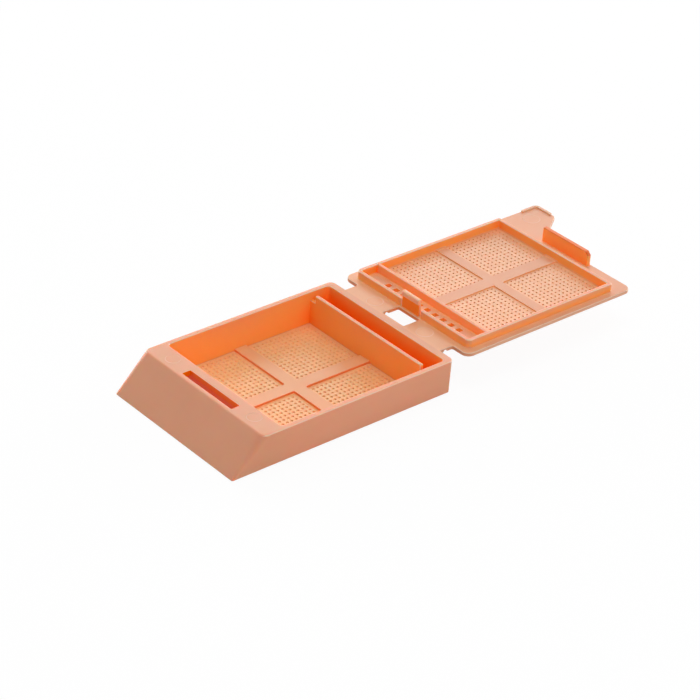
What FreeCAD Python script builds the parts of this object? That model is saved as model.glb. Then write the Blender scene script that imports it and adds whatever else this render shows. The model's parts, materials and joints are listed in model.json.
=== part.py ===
import FreeCAD, Part
import math
import os

# Tissue cassette for holding a biology specimen while liquids flow through it.
# It is one plastic moulding: a tray with a sloped label face, and a lid that folds
# over on a living hinge. It is modelled as it is moulded, with the lid laid open flat.
# The moulding is divided only at the fold line, so that the lid can turn there.
#
# Lengths are in millimetres. X runs from the label slope at the front towards the
# open lid, Y runs across, and Z is up. The origin is on the underside of the tray,
# half way along it and half way across.

# Tray
TRAY_LENGTH = 41.0          # foot of the label slope to the back of the rim
TRAY_WIDTH = 28.2           # across the rim
TRAY_HEIGHT = 5.65          # underside to rim
OUTER_DRAFT = 0.25          # lean of the outer side and back faces, rim to underside
INNER_DRAFT = 0.15          # lean of the compartment faces, rim to floor
SIDE_WALL = 0.85            # side wall at the rim
BACK_WALL = 1.3             # back wall at the rim
FRONT_WALL = 0.9            # wall between the compartment and the label hollow
RIM_ROUND = 0.18            # rounding of the outer edge of the rim
FRONT_CORNER = 1.2          # plan radius of the front corners at the rim
FOOT_CORNER = 0.35          # plan radius of all four corners at the underside
BACK_CORNER = 1.0           # plan radius of the back corners at the rim
COMPARTMENT_CORNER = 0.6    # plan radius inside the compartment

# Label end: a hollow wedge with a deck on top and a slot for the lid's tongue
LABEL_RUN = 5.2             # how far the label slope reaches back, foot to top edge
LABEL_SKIN = 0.9            # thickness of the label slope, square to its face
DECK_SKIN = 0.9             # thickness of the deck
SLOT_SETBACK = 0.75         # top edge of the label slope to the slot
SLOT_WIDTH = 1.5
SLOT_LENGTH = 11.5
SLOT_LAND = 0.6             # slot to the face of the front wall

# Floor of the tray: a cross of ribs round four thin meshed panels
FLOOR = 0.45                # thickness at the ribs
FLOOR_RECESS = 0.2          # how far the meshed panels lie below the ribs
FLOOR_RIB = 2.2             # width of both ribs of the cross
PANEL_MARGIN = 0.25         # solid floor between a panel and the walls round it
MESH_HOLE_SHARE = 0.52      # side of a mesh hole as a share of the mesh pitch
FLOOR_COLUMNS = 5           # mesh holes of one floor panel along X
FLOOR_ROWS = 6              # mesh holes of one floor panel along Y

# Divider across the tray, with a channel behind it for the lid's hook
CHANNEL = 3.05              # divider to the back wall at the rim
DIVIDER = 0.6               # thickness of the divider
DIVIDER_DROP = 0.15         # rim to the top of the divider
NOTCH_CLEARANCE = 0.15      # divider to the side walls of the lid's frame

# Living hinge
STRAP_REACH = 1.1           # back of the rim to the fold line
STRAP_SPAN = 21.7           # width of the hinge across Y
FILM = 0.3                  # thickness left at the fold line
FILM_GROOVE = 0.45          # reach of the groove each side of the fold line
LID_GAP = 0.1               # rim to the closed lid
WINDOW_LAND = 0.2           # back of the rim to the window in the hinge
WINDOW_SILL = 0.3           # window to the lid's frame
WINDOW_WIDTH = 4.8

# Lid
PLATE = 0.65                # thickness of the lid plate
PLATE_CORNER = 1.3
PLATE_BACK_INSET = 0.3      # closed plate inside the back of the rim
PLATE_FRONT_INSET = 0.8     # closed plate behind the top edge of the label slope
NOTCH_ROUND = 0.3           # inner corner where the hinge meets the plate
LID_RECESS = 0.25           # how far the meshed panels lie below the ribs
LID_RIB = 2.3               # width of the rib along the middle
LID_CROSS_RIB = 1.8         # width of the rib across
LID_COLUMNS = 5
LID_ROWS = 5

# Frame that stands on the lid and enters the tray when it is shut
FRAME_HEIGHT = 1.35
FRAME_WALL = 0.6
FRAME_CORNER = 0.8
FRAME_SIDE_CLEARANCE = 0.4  # to the side walls of the tray
FRAME_BACK_CLEARANCE = 0.25
FRAME_FRONT_CLEARANCE = 0.2
DIVIDER_GAP = 0.5           # lid divider to the tray divider when shut
LID_DIVIDER = 0.55          # thickness of the divider on the lid
STRIP_HOLES = 10            # square holes between the frame and the lid divider
STRIP_HOLE = 0.95
STRIP_PITCH = 1.79
STRIP_SHIFT = 0.35          # row of holes towards the lid divider, from the middle of the strip

# Hook that stands in a break of the frame, beside the window
HOOK_HEIGHT = 2.8
HOOK_WIDTH = 3.8
HOOK_SHIFT = 0.35           # centre of the hook towards the thumb tab, from the middle
HOOK_LENGTH = 0.85          # front to rear of the bead at its top
HOOK_WAIST = 0.15           # how far the bead stands out of the hook's rear face
HOOK_BEAD = 0.7             # height of the bead
HOOK_CHAMFER = 0.23         # along the top edges of the hook
HOOK_CLEARANCE = 0.15       # to the back wall of the tray when shut

# Tongue that drops into the slot
TONGUE_HEIGHT = 2.4
TONGUE_FRONT_CLEARANCE = 0.25
TONGUE_BACK_CLEARANCE = 0.5
TONGUE_END_CLEARANCE = 0.65
TONGUE_CHAMFER = 0.5

# Thumb tab at one corner of the lid
TAB_REACH = 6.5             # beyond the edge of the plate
TAB_ROOT = 8.8              # width where it leaves the plate
TAB_TIP = 4.4               # width at its end
TAB_CORNER = 0.9
TAB_ROOT_ROUND = 1.6
TAB_LIP = 0.45              # height of the lip along its outer edges
TAB_LIP_WALL = 0.5
TAB_LIP_REACH = 3.6         # length of the lip, back from the end of the tab

SMALLEST_ROUND = 0.2        # least plan radius of an inner corner, where the wall leaves no more
ROUND_LIMIT = 1 / 3         # largest rounding of an edge, as a share of its wall
EXTRA = 1.0                 # how far a cutting shape runs past what it cuts

# Places worked out from the sizes above
half_width = TRAY_WIDTH / 2
foot_x = -TRAY_LENGTH / 2
back_x = TRAY_LENGTH / 2
label_top_x = foot_x + LABEL_RUN
slot_front_x = label_top_x + SLOT_SETBACK
slot_back_x = slot_front_x + SLOT_WIDTH
hollow_back_x = slot_back_x + SLOT_LAND
compartment_front_x = hollow_back_x + FRONT_WALL
compartment_back_x = back_x - BACK_WALL
compartment_half = half_width - SIDE_WALL
divider_back_x = compartment_back_x - CHANNEL
divider_front_x = divider_back_x - DIVIDER
fold_x = back_x + STRAP_REACH
fold_z = TRAY_HEIGHT + LID_GAP / 2
frame_half = compartment_half - FRAME_SIDE_CLEARANCE
rim_z = TRAY_HEIGHT
plate_low_z = rim_z - PLATE
frame_top_z = rim_z + FRAME_HEIGHT


def opened(x):
    """Where a thing that lies at x when the lid is shut lies when it is open."""
    return 2 * fold_x - x


frame_hinge_x = opened(compartment_back_x - FRAME_BACK_CLEARANCE)
frame_far_x = opened(compartment_front_x + FRAME_FRONT_CLEARANCE)
hook_face_x = opened(compartment_back_x - HOOK_CLEARANCE)
window_far_x = frame_hinge_x - WINDOW_SILL
lid_divider_x = opened(divider_front_x - DIVIDER_GAP)
plate_near_x = opened(back_x - PLATE_BACK_INSET)
plate_far_x = opened(label_top_x + PLATE_FRONT_INSET)
tab_end_x = plate_far_x + TAB_REACH


def box(x0, x1, y0, y1, z0, z1):
    """Block between two corners."""
    return Part.makeBox(x1 - x0, y1 - y0, z1 - z0, FreeCAD.Vector(x0, y0, z0))


def corner_arc(before, corner, after, radius):
    """Tangent arc that rounds one corner, with its first and last point."""
    to_before = (before - corner).normalize()
    to_after = (after - corner).normalize()
    half_angle = to_before.getAngle(to_after) / 2
    setback = radius / math.tan(half_angle)
    start = corner + to_before * setback
    end = corner + to_after * setback
    bisector = (to_before + to_after).normalize()
    middle = corner + bisector * (radius / math.sin(half_angle) - radius)
    return start, middle, end


def rounded_wire(corners, z):
    """Closed wire at height z through (x, y, radius) corners."""
    points = [FreeCAD.Vector(x, y, z) for x, y, radius in corners]
    count = len(points)
    stretches = []
    for index, (x, y, radius) in enumerate(corners):
        before = points[index - 1]
        after = points[(index + 1) % count]
        if radius > 0:
            stretches.append(corner_arc(before, points[index], after, radius))
        else:
            stretches.append((points[index], None, points[index]))
    edges = []
    for index, (start, middle, end) in enumerate(stretches):
        if middle is not None:
            edges.append(Part.Arc(start, middle, end).toShape())
        next_start = stretches[(index + 1) % count][0]
        edges.append(Part.makeLine(end, next_start))
    return Part.Wire(edges)


def rectangle(x0, x1, half, z, front_radius, back_radius):
    """Wire of a rectangle about the X axis with rounded corners."""
    corners = [(x0, -half, front_radius), (x1, -half, back_radius)]
    corners += [(x1, half, back_radius), (x0, half, front_radius)]
    return rounded_wire(corners, z)


def plate_of(wire, thickness):
    """Flat solid above a wire."""
    return Part.Face(wire).extrude(FreeCAD.Vector(0, 0, thickness))


def across(profile, y0, y1):
    """Solid with an (x, z) outline, from y0 to y1."""
    points = [FreeCAD.Vector(x, y0, z) for x, z in profile]
    face = Part.Face(Part.makePolygon(points + points[:1]))
    return face.extrude(FreeCAD.Vector(0, y1 - y0, 0))


def panels(x0, x1, half, rib, cross_rib):
    """The four rectangles that a cross of ribs leaves, inside a margin."""
    middle = (x0 + x1) / 2
    spans = [(x0 + PANEL_MARGIN, middle - cross_rib / 2)]
    spans += [(middle + cross_rib / 2, x1 - PANEL_MARGIN)]
    outer = half - PANEL_MARGIN
    sides = [(-outer, -rib / 2), (rib / 2, outer)]
    return [(a, b, c, d) for a, b in spans for c, d in sides]


def mesh_holes(panel, columns, rows, z0, z1):
    """Square holes in an even grid over one panel."""
    x0, x1, y0, y1 = panel
    pitch_x = (x1 - x0) / columns
    pitch_y = (y1 - y0) / rows
    side = MESH_HOLE_SHARE * min(pitch_x, pitch_y)
    holes = []
    for column in range(columns):
        x = x0 + (column + 0.5) * pitch_x
        for row in range(rows):
            y = y0 + (row + 0.5) * pitch_y
            holes.append(box(x - side / 2, x + side / 2, y - side / 2, y + side / 2, z0, z1))
    return holes


def flat_faced(loft):
    """The same solid, with a true plane for each face of a loft that is flat."""
    faces = []
    for face in loft.Faces:
        plane = face.findPlane()
        faces.append(face if plane is None else Part.Face(plane, face.OuterWire))
    return Part.makeSolid(Part.makeShell(faces))


def tray_body():
    """Outer form: leaning sides, label slope, corners that sharpen downwards."""
    low_half = half_width - OUTER_DRAFT
    low = rectangle(foot_x, back_x - OUTER_DRAFT, low_half, 0, FOOT_CORNER, FOOT_CORNER)
    high = rectangle(label_top_x, back_x, half_width, rim_z, FRONT_CORNER, BACK_CORNER)
    body = flat_faced(Part.makeLoft([low, high], True, True))
    rim = [edge for edge in body.Edges if edge.BoundBox.ZMin > rim_z - RIM_ROUND]
    return body.makeFillet(min(RIM_ROUND, SIDE_WALL * ROUND_LIMIT), rim)


def trim_to_tray(shape):
    """Keep only what lies inside the outer form of the tray."""
    return shape.common(tray_body())


def compartment():
    """Space inside the tray, from the floor up through the rim."""
    low = rectangle(compartment_front_x + INNER_DRAFT, compartment_back_x - INNER_DRAFT,
                    compartment_half - INNER_DRAFT, FLOOR, COMPARTMENT_CORNER, COMPARTMENT_CORNER)
    high = rectangle(compartment_front_x, compartment_back_x, compartment_half,
                     rim_z, COMPARTMENT_CORNER, COMPARTMENT_CORNER)
    space = flat_faced(Part.makeLoft([low, high], True, True))
    return space.fuse(plate_of(high, EXTRA))


def label_hollow():
    """Space under the label slope and the deck, open below."""
    slope = LABEL_RUN / TRAY_HEIGHT
    skin_x = LABEL_SKIN * math.hypot(LABEL_RUN, TRAY_HEIGHT) / TRAY_HEIGHT
    low_x = foot_x + skin_x
    top_z = rim_z - DECK_SKIN
    profile = [(low_x - EXTRA * slope, -EXTRA), (hollow_back_x, -EXTRA)]
    profile += [(hollow_back_x, top_z), (low_x + top_z * slope, top_z)]
    inner_half = half_width - OUTER_DRAFT - SIDE_WALL
    return across(profile, -inner_half, inner_half)


def slot():
    """Slot through the deck."""
    half = SLOT_LENGTH / 2
    return box(slot_front_x, slot_back_x, -half, half, rim_z - DECK_SKIN - EXTRA, rim_z + EXTRA)


def tray_divider():
    """Wall across the compartment, cut down at both ends for the lid's frame."""
    shoulder_z = rim_z + LID_GAP - FRAME_HEIGHT - NOTCH_CLEARANCE
    top_half = frame_half - FRAME_WALL - NOTCH_CLEARANCE
    foot_half = compartment_half
    low_z = FLOOR / 2
    wall = box(divider_front_x, divider_back_x, -foot_half, foot_half, low_z, shoulder_z)
    top = box(divider_front_x, divider_back_x, -top_half, top_half, low_z, rim_z - DIVIDER_DROP)
    return wall.fuse(top)


def groove(direction):
    """Wedge under the hinge that thins it to the film, on one side of the fold."""
    edge_x = fold_x + direction * FILM_GROOVE
    profile = [(fold_x, rim_z - FILM), (edge_x, plate_low_z), (edge_x, plate_low_z - EXTRA)]
    profile += [(fold_x, plate_low_z - EXTRA)]
    return across(profile, -half_width, half_width)


def window():
    """Hole through the hinge, in front of the hook."""
    half = WINDOW_WIDTH / 2
    return box(back_x + WINDOW_LAND, window_far_x, -half, half, plate_low_z - EXTRA, rim_z + EXTRA)


def hinge_stub():
    """Half of the hinge that stays with the tray."""
    half = STRAP_SPAN / 2
    strap = box(back_x - BACK_WALL / 2, fold_x, -half, half, plate_low_z, rim_z)
    return strap.cut([groove(-1), window()])


def cassette_tray():
    """The tray with its label end, meshed floor, divider and half of the hinge."""
    low_half = compartment_half - INNER_DRAFT
    floor_panels = panels(compartment_front_x + INNER_DRAFT, divider_front_x, low_half, FLOOR_RIB, FLOOR_RIB)
    cuts = [compartment(), label_hollow(), slot()]
    mesh_z = FLOOR - FLOOR_RECESS
    for x0, x1, y0, y1 in floor_panels:
        cuts.append(box(x0, x1, y0, y1, mesh_z, FLOOR + FLOOR_RECESS))
    tray = tray_body().cut(cuts)
    holes = []
    for panel in floor_panels:
        holes += mesh_holes(panel, FLOOR_COLUMNS, FLOOR_ROWS, -EXTRA, mesh_z + FLOOR_RECESS)
    tray = tray.cut(holes)
    tray = tray.fuse([trim_to_tray(tray_divider()), hinge_stub()])
    return tray.removeSplitter()


def lid_plate():
    """Plate of the lid with its half of the hinge and the thumb tab, in one outline."""
    strap = STRAP_SPAN / 2
    outline = [(fold_x, -strap, 0), (plate_near_x, -strap, NOTCH_ROUND)]
    outline += [(plate_near_x, -half_width, PLATE_CORNER), (plate_far_x, -half_width, PLATE_CORNER)]
    outline += [(plate_far_x, half_width - TAB_ROOT, TAB_ROOT_ROUND)]
    outline += [(tab_end_x, half_width - TAB_TIP, TAB_CORNER), (tab_end_x, half_width, TAB_CORNER)]
    outline += [(plate_near_x, half_width, PLATE_CORNER), (plate_near_x, strap, NOTCH_ROUND)]
    outline += [(fold_x, strap, 0)]
    plate = plate_of(rounded_wire(outline, plate_low_z), PLATE)
    return plate.cut([groove(1), window()])


def lid_frame():
    """Wall round the lid, with the divider across it and a break for the hook."""
    low_z = plate_low_z + PLATE / 2
    high = frame_top_z - low_z
    outer = rectangle(frame_hinge_x, frame_far_x, frame_half, low_z, FRAME_CORNER, FRAME_CORNER)
    inner_round = max(FRAME_CORNER - FRAME_WALL, SMALLEST_ROUND)
    inner = rectangle(frame_hinge_x + FRAME_WALL, frame_far_x - FRAME_WALL, frame_half - FRAME_WALL,
                      low_z, inner_round, inner_round)
    frame = plate_of(outer, high).cut(plate_of(inner, high))
    half = frame_half - FRAME_WALL / 2
    divider = box(lid_divider_x, lid_divider_x + LID_DIVIDER, -half, half, low_z, frame_top_z)
    gap = WINDOW_WIDTH / 2
    broken = box(frame_hinge_x - EXTRA, frame_hinge_x + FRAME_WALL, -gap, gap, rim_z, frame_top_z + EXTRA)
    return frame.fuse(divider).cut(broken)


def hook():
    """Hook with a rounded bead at its top, its face towards the window."""
    low_z = rim_z - PLATE / 2
    top_z = rim_z + HOOK_HEIGHT
    bead_x = hook_face_x + HOOK_LENGTH
    rear_x = bead_x - HOOK_WAIST
    bead_z = top_z - HOOK_BEAD
    profile = [(hook_face_x, low_z), (rear_x, low_z), (rear_x, bead_z), (bead_x, bead_z + HOOK_WAIST)]
    profile += [(bead_x, top_z - HOOK_CHAMFER), (bead_x - HOOK_CHAMFER, top_z)]
    profile += [(hook_face_x + HOOK_CHAMFER, top_z), (hook_face_x, top_z - HOOK_CHAMFER)]
    return across(profile, HOOK_SHIFT - HOOK_WIDTH / 2, HOOK_SHIFT + HOOK_WIDTH / 2)


def tongue():
    """Blade that drops into the slot of the deck when the lid is shut."""
    outer_x = opened(slot_front_x + TONGUE_FRONT_CLEARANCE)
    inner_x = opened(slot_back_x - TONGUE_BACK_CLEARANCE)
    half = SLOT_LENGTH / 2 - TONGUE_END_CLEARANCE
    top_z = rim_z + TONGUE_HEIGHT
    low_z = rim_z - PLATE / 2
    outline = [(-half, low_z), (half, low_z), (half, top_z - TONGUE_CHAMFER), (half - TONGUE_CHAMFER, top_z)]
    outline += [(TONGUE_CHAMFER - half, top_z), (-half, top_z - TONGUE_CHAMFER)]
    points = [FreeCAD.Vector(inner_x, y, z) for y, z in outline]
    face = Part.Face(Part.makePolygon(points + points[:1]))
    return face.extrude(FreeCAD.Vector(outer_x - inner_x, 0, 0))


def tab_lip():
    """Low lip along the outer side and the end of the thumb tab."""
    tip_side = half_width - TAB_TIP
    start_x = tab_end_x - TAB_LIP_REACH
    inner_x = tab_end_x - TAB_LIP_WALL
    inner_y = half_width - TAB_LIP_WALL
    outer = [(start_x, tip_side + TAB_CORNER, 0), (tab_end_x, tip_side + TAB_CORNER, 0)]
    outer += [(tab_end_x, half_width, TAB_CORNER), (start_x, half_width, 0)]
    lip = plate_of(rounded_wire(outer, rim_z - PLATE / 2), PLATE / 2 + TAB_LIP)
    inner_round = max(TAB_CORNER - TAB_LIP_WALL, SMALLEST_ROUND)
    inner = [(start_x - EXTRA, tip_side, 0), (inner_x, tip_side, 0)]
    inner += [(inner_x, inner_y, inner_round), (start_x - EXTRA, inner_y, 0)]
    return lip.cut(plate_of(rounded_wire(inner, rim_z - PLATE), PLATE + TAB_LIP))


def strip_holes():
    """Row of square holes between the frame's hinge wall and the lid divider."""
    x = (frame_hinge_x + FRAME_WALL + lid_divider_x) / 2 + STRIP_SHIFT
    first = -STRIP_PITCH * (STRIP_HOLES - 1) / 2
    side = STRIP_HOLE / 2
    holes = []
    for index in range(STRIP_HOLES):
        y = first + index * STRIP_PITCH
        holes.append(box(x - side, x + side, y - side, y + side, plate_low_z - EXTRA, rim_z + EXTRA / 2))
    return holes


def cassette_lid():
    """The lid with its frame, meshed panels, hook, tongue, thumb tab and half hinge."""
    frame_in_x = lid_divider_x + LID_DIVIDER
    frame_out_x = frame_far_x - FRAME_WALL
    lid_panels = panels(frame_in_x, frame_out_x, frame_half - FRAME_WALL, LID_RIB, LID_CROSS_RIB)
    mesh_z = rim_z - LID_RECESS
    lid = lid_plate().fuse([lid_frame(), hook(), tongue(), tab_lip()])
    cuts = [box(x0, x1, y0, y1, mesh_z, rim_z + LID_RECESS) for x0, x1, y0, y1 in lid_panels]
    lid = lid.cut(cuts)
    holes = strip_holes()
    for panel in lid_panels:
        holes += mesh_holes(panel, LID_COLUMNS, LID_ROWS, plate_low_z - EXTRA, mesh_z + LID_RECESS)
    return lid.cut(holes).removeSplitter()


def one_solid(name, shape):
    """The single solid of a finished piece."""
    print(name, "solids", len(shape.Solids), "faces", len(shape.Faces), "valid", shape.isValid(),
          "volume", round(shape.Volume, 2), "box", shape.BoundBox)
    return shape.Solids[0] if len(shape.Solids) == 1 else shape


os.makedirs("parts", exist_ok=True)
for node, make in (("cassette_tray", cassette_tray), ("cassette_lid", cassette_lid)):
    one_solid(node, make()).exportStep("parts/" + node + ".step")
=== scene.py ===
# %% [markdown]
# # A tissue cassette, dressed over its CAD frame
# The real thing is one moulding of acetal plastic: a tray with a sloped label face, and a lid
# that folds over on a thin film of the same plastic. The CAD frame already says how large it is
# and where the fold lies. So the first step loads the frame, and every size below starts from it.
# Work is done in millimetres, because a mesh hole of 0.4 mm is easier to read than 0.0004 m, and
# each finished mesh is scaled to metres once, at the end.

import json
import math

import bmesh
import bpy
from mathutils import Matrix, Vector


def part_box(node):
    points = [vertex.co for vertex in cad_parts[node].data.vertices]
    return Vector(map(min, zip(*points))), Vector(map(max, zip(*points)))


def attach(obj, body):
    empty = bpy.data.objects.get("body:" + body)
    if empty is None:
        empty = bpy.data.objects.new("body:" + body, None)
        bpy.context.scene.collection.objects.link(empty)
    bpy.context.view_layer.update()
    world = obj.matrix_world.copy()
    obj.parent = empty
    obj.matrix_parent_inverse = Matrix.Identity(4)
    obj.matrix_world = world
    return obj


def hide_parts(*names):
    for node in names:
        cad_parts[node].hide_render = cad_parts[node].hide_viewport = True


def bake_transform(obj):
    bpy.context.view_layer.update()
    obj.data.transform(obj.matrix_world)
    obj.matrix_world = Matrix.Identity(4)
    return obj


MM = 0.001
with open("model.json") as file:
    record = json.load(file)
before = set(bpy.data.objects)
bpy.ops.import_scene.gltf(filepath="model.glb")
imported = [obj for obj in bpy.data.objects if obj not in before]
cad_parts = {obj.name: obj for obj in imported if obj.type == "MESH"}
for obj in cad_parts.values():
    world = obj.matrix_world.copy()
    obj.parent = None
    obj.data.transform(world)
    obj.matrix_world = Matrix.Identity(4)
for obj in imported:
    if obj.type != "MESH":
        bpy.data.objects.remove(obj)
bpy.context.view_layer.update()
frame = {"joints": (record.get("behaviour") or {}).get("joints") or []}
tray_low, tray_high = [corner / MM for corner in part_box("cassette_tray")]
lid_low, lid_high = [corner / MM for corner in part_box("cassette_lid")]
hinge = frame["joints"][0]
fold = Vector(hinge["pos_m"]) / MM
print("tray", tray_low, tray_high)
print("lid", lid_low, lid_high)
print("fold line", fold)

# %% [markdown]
# ## Outlines
# A moulded part has no sharp edges: the mould is rounded, and so is every rim, foot and corner.
# A Bevel modifier could round a finished box, but it struggles where many features meet. So the
# corners are rounded while a form is drawn. An outline is a ring of points, and each of them knows
# which way is outwards, so that the whole outline can be grown or shrunk later.

# %% Rounded outlines
CORNER_STEPS = 7


def outline(*corners):
    """Points round an anticlockwise outline of (x, y, radius) corners, each with its way out."""
    points = []
    for index, (x, y, radius) in enumerate(corners):
        here = Vector((x, y))
        before = Vector(corners[index - 1][:2])
        after = Vector(corners[(index + 1) % len(corners)][:2])
        arriving = (here - before).normalized()
        leaving = (after - here).normalized()
        side_in = Vector((arriving.y, -arriving.x))
        side_out = Vector((leaving.y, -leaving.x))
        turn = math.atan2(arriving.cross(leaving), arriving.dot(leaving))
        if radius == 0:
            points.append((here, (side_in + side_out) / (1 + side_in.dot(side_out))))
            continue
        bulge = math.copysign(radius, turn)
        centre = here - arriving * radius * abs(math.tan(turn / 2)) - side_in * bulge
        for step in range(CORNER_STEPS + 1):
            way = Matrix.Rotation(turn * step / CORNER_STEPS, 2) @ side_in
            points.append((centre + way * bulge, way))
    return points


def rectangle(x0, x1, y0, y1, radius, back_radius=None):
    """Outline of a rectangle; the corners at x1 may have a radius of their own."""
    back = radius if back_radius is None else back_radius
    return outline((x0, y0, radius), (x1, y0, back), (x1, y1, back), (x0, y1, radius))


print("points on a rounded rectangle:", len(rectangle(0, 2, 0, 1, 0.2)))

# %% [markdown]
# ## Stacks of layers
# Each form is a stack of loops. A layer is the outline, grown or shrunk a little at some height. A
# quarter circle of layers is a rounded edge, and the same quarter circle turned outwards is the
# soft fillet at the foot of a rib. A lofted curve could do this too, but a mesh that is written
# loop by loop is always closed, and the cuts further down need that.

# %% Layers, and solids made of them
ROUND_STEPS = 5


def quarter():
    """Sine and cosine at each step of a quarter circle."""
    angles = [math.pi / 2 * step / ROUND_STEPS for step in range(ROUND_STEPS + 1)]
    return [(math.sin(angle), math.cos(angle)) for angle in angles]


def foot(z, radius):
    """(growth, height) layers of a rounded lower edge, or of a fillet if the radius is negative."""
    return [(-radius * (1 - s), z + abs(radius) * (1 - c)) for s, c in quarter()]


def top(z, radius):
    """(growth, height) layers of a rounded upper edge, or of a flared mouth if it is negative."""
    return [(-radius * (1 - c), z - abs(radius) * (1 - s)) for s, c in quarter()]


def loop(shape, growth, z):
    """One loop of 3D points: an outline grown outwards, at one height."""
    return [(*(point + way * growth), z) for point, way in shape]


def between(low, high, share):
    """Outline part of the way from one outline to another with as many points."""
    return [(a.lerp(b, share), wa.lerp(wb, share)) for (a, wa), (b, wb) in zip(low, high)]


def skin(shell, loops, ring=False):
    """Faces through loops of equal length: capped at both ends, or bent round into a ring."""
    rows = [[shell.verts.new(point) for point in points] for points in loops]
    if ring:
        rows.append(rows[0])
    else:
        shell.faces.new(reversed(rows[0]))
        shell.faces.new(rows[-1])
    for lower, upper in zip(rows, rows[1:]):
        for index, corner in enumerate(lower):
            shell.faces.new((lower[index - 1], corner, upper[index], upper[index - 1]))


def added(name, data):
    """Object for a mesh, a lamp or a camera, added to the scene."""
    made = bpy.data.objects.new(name, data)
    bpy.context.scene.collection.objects.link(made)
    return made


def as_object(name, shell):
    """Object made of a finished shell, which is used up."""
    mesh = bpy.data.meshes.new(name)
    shell.to_mesh(mesh)
    shell.free()
    return added(name, mesh)


def solid(name, loops, ring=False):
    """Closed solid through loops of equal length."""
    shell = bmesh.new()
    skin(shell, loops, ring)
    bmesh.ops.recalc_face_normals(shell, faces=shell.faces)
    return as_object(name, shell)


def stack(name, shape, layers, turn=Matrix()):
    """Solid through the layers of one outline, turned into place if it doesn't lie flat."""
    made = solid(name, [loop(shape, growth, z) for growth, z in layers])
    made.data.transform(turn)
    return made


print("layers of a rounded edge:", foot(0, 0.2))

# %% [markdown]
# ## Joining and cutting
# The moulding is built the way a toolmaker thinks of it: blocks are joined, then pockets, slots and
# holes are cut. Blender's Boolean modifier does both. Its manifold solver is quick enough to punch
# 800 holes at once, and since each block here is closed, it never fails on them. Every result goes
# into a plain mesh straight away, so that nothing is left to recompute.

# %% Boolean helper
SOLVER = "MANIFOLD"


def combined(body, tools, operation):
    """The body joined with, or cut by, each of the tools, which are used up."""
    for tool in tools:
        step = body.modifiers.new(tool.name, "BOOLEAN")
        step.operation = operation
        step.solver = SOLVER
        step.object = tool
    bpy.context.view_layer.update()
    evaluated = body.evaluated_get(bpy.context.evaluated_depsgraph_get())
    mesh = bpy.data.meshes.new_from_object(evaluated)
    body.modifiers.clear()
    body.data = mesh
    for tool in tools:
        bpy.data.objects.remove(tool)
    print(body.name, operation.lower(), "->", len(mesh.vertices), "vertices")
    return body


def joined(body, *tools):
    return combined(body, tools, "UNION")


def cut(body, *tools):
    return combined(body, tools, "DIFFERENCE")


print("blocks are joined and cut by the solver", SOLVER.lower())

# %% [markdown]
# ## The tray
# Its sides lean out a little towards the rim, so that it drops out of the mould, and the front is a
# slope for the label. One stack of loops makes the whole shell: up the outside, over the rim, and
# down inside to the floor. The front face slopes only because the upper outline starts further back
# than the lower one. Nothing has to be cut for it, and the rim gets a true round edge all the way.

# %% Tray shell
RIM = tray_high.z
HALF_WIDTH = tray_high.y
FOOT_X = tray_low.x
BACK_X = -FOOT_X
LABEL_TOP_X = FOOT_X + 5.2
OUTER_LEAN, INNER_LEAN = 0.25, 0.15
SIDE_WALL = 0.85
CAVITY_FRONT_X = LABEL_TOP_X + 3.75
CAVITY_BACK_X = BACK_X - 1.3
CAVITY_HALF = HALF_WIDTH - SIDE_WALL
FLOOR = 0.22
FOOT_CORNER, RIM_CORNER, RIM_BACK_CORNER, CAVITY_CORNER = 0.35, 1.2, 1.0, 0.6
FOOT_ROUND, RIM_ROUND, RIM_INNER_ROUND = 0.2, 0.18, 0.14
FILLET = 0.12


def tray_shell():
    lean = OUTER_LEAN
    low = rectangle(FOOT_X, BACK_X - lean, lean - HALF_WIDTH, HALF_WIDTH - lean, FOOT_CORNER)
    high = rectangle(LABEL_TOP_X, BACK_X, -HALF_WIDTH, HALF_WIDTH, RIM_CORNER, RIM_BACK_CORNER)
    outside = foot(0, FOOT_ROUND) + top(RIM, RIM_ROUND)
    loops = [loop(between(low, high, z / RIM), growth, z) for growth, z in outside]
    lean = INNER_LEAN
    high = rectangle(CAVITY_FRONT_X, CAVITY_BACK_X, -CAVITY_HALF, CAVITY_HALF, CAVITY_CORNER)
    low = rectangle(CAVITY_FRONT_X + lean, CAVITY_BACK_X - lean,
                    lean - CAVITY_HALF, CAVITY_HALF - lean, CAVITY_CORNER)
    inside = foot(FLOOR, FILLET) + top(RIM, -RIM_INNER_ROUND)
    for growth, z in reversed(inside):
        loops.append(loop(between(low, high, (z - FLOOR) / (RIM - FLOOR)), growth, z))
    return solid("tray", loops)


tray = tray_shell()
print("tray shell:", len(tray.data.polygons), "faces")

# %% [markdown]
# ## Label end
# Behind the label slope the real moulding is hollow, or the thick wedge would sink as it cools. The
# slot in the deck takes the tongue of the lid. Both are cut from the shell by closed solids that
# reach past it. The hollow's section is drawn upright and pushed sideways, by turning the stack.

# %% Label hollow and slot
OVER = 1.0
SKIN = 0.9
HOLLOW_ROUND = 0.3
SIDEWAYS = Matrix.Rotation(math.pi / 2, 4, "X")
SLOT_X = (LABEL_TOP_X + 0.75, LABEL_TOP_X + 2.25)
SLOT_HALF = 5.75
SLOT_BACK_WALL = 0.6
SLOT_CORNER, SLOT_MOUTH = 0.15, 0.1


def label_hollow():
    slope = (LABEL_TOP_X - FOOT_X) / RIM
    front = FOOT_X + SKIN * math.hypot(slope, 1)
    back = SLOT_X[1] + SLOT_BACK_WALL
    high = RIM - SKIN
    half = HALF_WIDTH - OUTER_LEAN - SIDE_WALL
    section = outline((front - OVER * slope, -OVER, 0), (back, -OVER, 0), (back, high, HOLLOW_ROUND),
                      (front + high * slope, high, HOLLOW_ROUND))
    return stack("label_hollow", section, foot(-half, HOLLOW_ROUND) + top(half, HOLLOW_ROUND), SIDEWAYS)


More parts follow.
